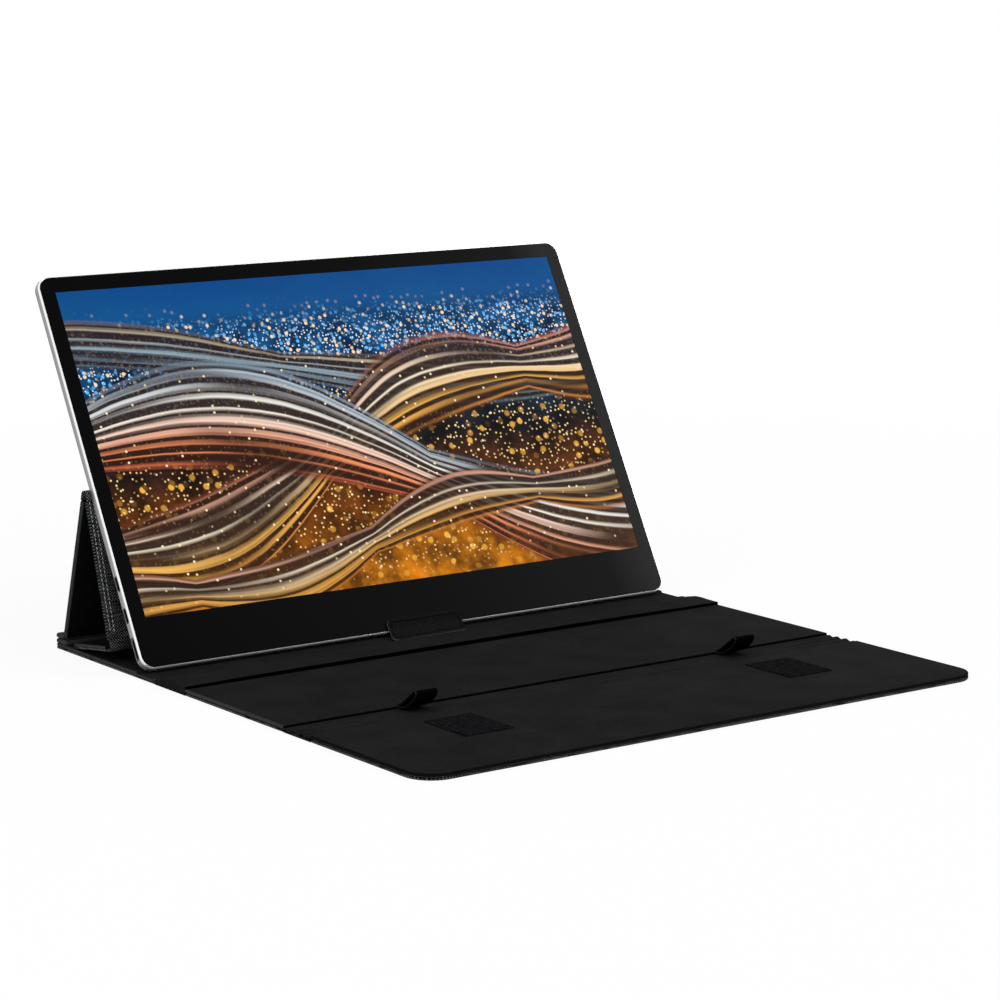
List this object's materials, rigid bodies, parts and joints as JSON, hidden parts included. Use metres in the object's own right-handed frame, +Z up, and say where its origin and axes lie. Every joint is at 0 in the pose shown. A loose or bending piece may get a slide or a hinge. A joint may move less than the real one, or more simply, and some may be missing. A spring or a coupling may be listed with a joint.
{
  "type": "portable monitor with cover",
  "caption": "Slim portable monitor leaning on the folded tent stand of its own fabric cover, whose hinged front panels lie open on the table.",
  "frame": {"origin": "on the table, under the middle of the whole object's bounding box", "axes": "+X across the screen to its right-hand side as seen from the front, +Y to the rear, +Z up"},
  "size_m": [0.368, 0.3844, 0.2076],
  "materials": {
    "frame": "satin anodised, polished bevel",
    "cover_plate": "matt dark coat",
    "screw": "black",
    "front_glass": "gloss, black printed border",
    "tape": "matt",
    "cell": "gloss",
    "film": "satin",
    "light_guide": "clear gloss",
    "reflector": "white gloss",
    "tray": "bare sheet",
    "led": "satin",
    "pcb": "satin solder resist",
    "cable": "satin",
    "chips": "matt",
    "port_shell": "plated",
    "black_plastic": "matt",
    "button": "satin anodised",
    "woven": "coarse woven twill, grey flecks",
    "lining": "brushed microfibre",
    "board": "plain",
    "magnet": "nickel plated",
    "leather": "fine grain, stitched edge",
    "ribbon": "grosgrain ribbon",
    "hook": "stiff hooks"
  },
  "bodies": {
    "base": {"base_skin": "woven", "base_board": "board", "base_lining": "lining", "base_magnets": "magnet", "hem_strip": "woven", "rear_fold": "woven", "spine_skin": "woven", "spine_lining": "lining"},
    "monitor": {"monitor_frame": "frame", "rear_cover": "cover_plate", "cover_screws": "screw", "front_glass": "front_glass", "glass_tape": "tape", "lcd_cell": "cell", "optical_films": "film", "light_guide": "light_guide", "reflector_sheet": "reflector", "led_bar": "led", "backlight_tray": "tray", "driver_board": "pcb", "display_cable": "cable", "main_board": "pcb", "board_chips": "chips", "usb_c_port_upper": "port_shell", "usb_c_port_lower": "port_shell", "mini_hdmi_port": "port_shell", "headphone_jack": "black_plastic", "speaker_left": "black_plastic", "speaker_right": "black_plastic", "button_board": "pcb"},
    "power_button": {"power_button": "button"},
    "menu_rocker": {"menu_rocker": "button"},
    "tab": {"leather_tab": "leather"},
    "rear_leg": {"rear_leg_skin": "woven", "rear_leg_board": "board", "rear_leg_lining": "lining", "apex_fold": "woven"},
    "front_leg": {"front_leg_skin": "woven", "front_leg_board": "board", "front_leg_lining": "lining", "foot_fold": "woven"},
    "flap": {"flap_skin": "woven", "flap_board": "board", "flap_lining": "lining", "flap_magnets": "magnet"},
    "middle": {"middle_skin": "woven", "middle_board": "board", "middle_lining": "lining", "ripple_skin": "woven", "ripple_lining": "lining"},
    "front": {"front_skin": "woven", "front_board": "board", "front_lining": "lining", "front_magnets": "magnet", "hook_patch_left": "hook", "hook_patch_right": "hook"},
    "loop_left": {"pull_loop_left": "ribbon"},
    "loop_right": {"pull_loop_right": "ribbon"}
  },
  "joints": [
    {"name": "monitor_tilt", "type": "hinge", "parent": "base", "child": "monitor", "pos_m": [0, 0.0798, 0.00195], "axis": [-1, 0, 0], "range_deg": [-29, 0]},
    {"name": "tab_flex", "type": "hinge", "parent": "base", "child": "tab", "pos_m": [0, 0.06434, 0.00195], "axis": [-1, 0, 0], "range_deg": [-29, 0]},
    {"name": "stand_fold", "type": "hinge", "parent": "base", "child": "rear_leg", "pos_m": [0, 0.16072, 0.0093], "axis": [-1, 0, 0], "range_deg": [0, 100], "deforming": ["rear_fold"]},
    {"name": "apex_hinge", "type": "hinge", "parent": "rear_leg", "child": "front_leg", "pos_m": [0, 0.1336, 0.0922], "axis": [1, 0, 0], "range_deg": [0, 8], "deforming": ["apex_fold"]},
    {"name": "foot_hinge", "type": "hinge", "parent": "front_leg", "child": "flap", "pos_m": [0, 0.10972, 0.0116], "axis": [1, 0, 0], "range_deg": [0, 72], "deforming": ["foot_fold"]},
    {"name": "middle_hinge", "type": "hinge", "parent": "base", "child": "middle", "pos_m": [0, 0.04352, 0.0003], "axis": [-1, 0, 0], "range_deg": [0, 115], "deforming": ["spine_skin", "spine_lining"]},
    {"name": "front_hinge", "type": "hinge", "parent": "middle", "child": "front", "pos_m": [0, -0.08128, 0.0046], "axis": [-1, 0, 0], "range_deg": [0, 178], "deforming": ["ripple_skin", "ripple_lining", "pull_loop_left", "pull_loop_right"]},
    {"name": "loop_left_flex", "type": "hinge", "parent": "middle", "child": "loop_left", "pos_m": [-0.1074, -0.06898, 0.0033], "axis": [-1, 0, 0], "range_deg": [-30, 50], "stiffness_Nm_per_rad": 0.001},
    {"name": "loop_right_flex", "type": "hinge", "parent": "middle", "child": "loop_right", "pos_m": [0.1074, -0.06898, 0.0033], "axis": [-1, 0, 0], "range_deg": [-30, 50], "stiffness_Nm_per_rad": 0.001},
    {"name": "power_press", "type": "slide", "parent": "monitor", "child": "power_button", "axis": [-1, 0, 0], "range_m": [0, 0.00035], "stiffness_N_per_m": 4000},
    {"name": "rocker_tilt", "type": "hinge", "parent": "monitor", "child": "menu_rocker", "pos_m": [0.1809, 0.09841, 0.04068], "axis": [0, -0.8746, 0.4848], "range_deg": [-2.2, 2.2], "stiffness_Nm_per_rad": 0.2}
  ],
  "couplings": [
    {"joint": "tab_flex", "follows": "monitor_tilt", "ratio": 1},
    {"joint": "foot_hinge", "follows": "apex_hinge", "ratio": 9}
  ]
}
